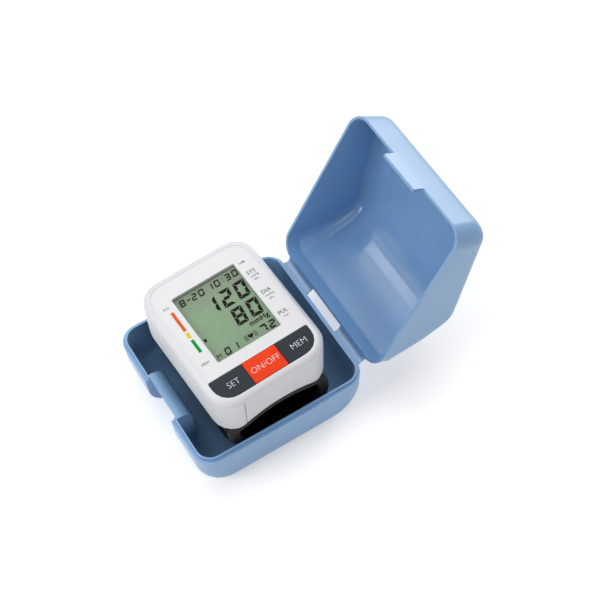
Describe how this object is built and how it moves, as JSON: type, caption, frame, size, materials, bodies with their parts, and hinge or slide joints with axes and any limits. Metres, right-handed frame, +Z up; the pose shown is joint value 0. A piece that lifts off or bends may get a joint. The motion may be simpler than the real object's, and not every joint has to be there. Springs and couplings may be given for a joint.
{
  "type": "wrist blood pressure monitor",
  "caption": "Wrist blood pressure monitor with display, key strip and looped cuff, lying in a hinged clamshell storage case with its lid open.",
  "frame": {"origin": "middle of the case tray's flat underside", "axes": "+Z up out of the tray, +X from the latch to the case hinge and along the display's reading direction, +Y along the hinge, up the display"},
  "size_m": [0.1644, 0.0908, 0.1168],
  "materials": {
    "case_blue": "moulded polypropylene, satin",
    "white_abs": "satin white ABS",
    "panel_white": "printed white face sheet",
    "clear_window": "clear window",
    "lcd": "reflective grey-green liquid crystal panel",
    "frame_plastic": "natural plastic",
    "silicone": "silicone",
    "black_plastic": "black plastic",
    "board": "green circuit board",
    "cell": "wrapped AAA cell",
    "steel": "plated steel",
    "bladder": "air bladder film",
    "cuff_fabric": "black woven nylon with loop pile",
    "key_dark": "dark grey key",
    "key_red": "orange-red key"
  },
  "bodies": {
    "case": {"case_tray": "case_blue", "hinge_web_near": "case_blue", "hinge_web_far": "case_blue"},
    "lid": {"case_lid": "case_blue"},
    "cuff": {"cuff_outer": "cuff_fabric", "cuff_bladder": "bladder", "cuff_lining": "cuff_fabric", "strap_tail": "cuff_fabric"},
    "monitor": {"top_housing": "white_abs", "bottom_housing": "white_abs", "face_panel": "panel_white", "housing_screw_1": "steel", "housing_screw_2": "steel", "housing_screw_3": "steel", "housing_screw_4": "steel", "display_window": "clear_window", "lcd_glass": "lcd", "lcd_holder": "frame_plastic", "lcd_connector": "silicone", "switch_set": "black_plastic", "switch_power": "black_plastic", "switch_memory": "black_plastic", "main_board": "board", "battery_upper": "cell", "battery_spring_upper": "steel", "battery_lower": "cell", "battery_spring_lower": "steel", "battery_contact_near": "steel", "battery_contact_far": "steel", "pump_head": "black_plastic", "pump_motor": "steel", "release_valve": "steel", "pressure_sensor": "black_plastic", "air_manifold": "frame_plastic", "buzzer": "black_plastic", "cuff_plate": "black_plastic"},
    "key_set_body": {"key_set": "key_dark"},
    "key_power_body": {"key_power": "key_red"},
    "key_memory_body": {"key_memory": "key_dark"},
    "cover": {"battery_cover": "white_abs"}
  },
  "joints": [
    {"name": "lid_hinge", "type": "hinge", "parent": "case", "child": "lid", "pos_m": [0.05025, 0, 0.029], "axis": [0, 1, 0], "range_deg": [-120.3, 38]},
    {"name": "monitor_lift", "type": "slide", "parent": "case", "child": "cuff", "axis": [0, 0, 1], "range_m": [0, 0.075]},
    {"name": "cuff_press", "type": "slide", "parent": "cuff", "child": "monitor", "axis": [0, 0, 1], "range_m": [-0.0141, 0.0046], "stiffness_N_per_m": 150, "springref_m": 0.0066, "deforming": ["cuff_outer", "cuff_bladder", "cuff_lining", "strap_tail"]},
    {"name": "key_set_press", "type": "slide", "parent": "monitor", "child": "key_set_body", "axis": [0, 0, -1], "range_m": [0, 0.0008], "stiffness_N_per_m": 2000},
    {"name": "key_power_press", "type": "slide", "parent": "monitor", "child": "key_power_body", "axis": [0, 0, -1], "range_m": [0, 0.0008], "stiffness_N_per_m": 2000},
    {"name": "key_memory_press", "type": "slide", "parent": "monitor", "child": "key_memory_body", "axis": [0, 0, -1], "range_m": [0, 0.0008], "stiffness_N_per_m": 2000},
    {"name": "battery_cover_slide", "type": "slide", "parent": "monitor", "child": "cover", "axis": [-0.999, -0.0445, 0], "range_m": [0, 0.016]}
  ],
  "couplings": [
    {"joint": "cuff_press", "follows": "lid_hinge", "m_per_rad": 0.0066678}
  ]
}
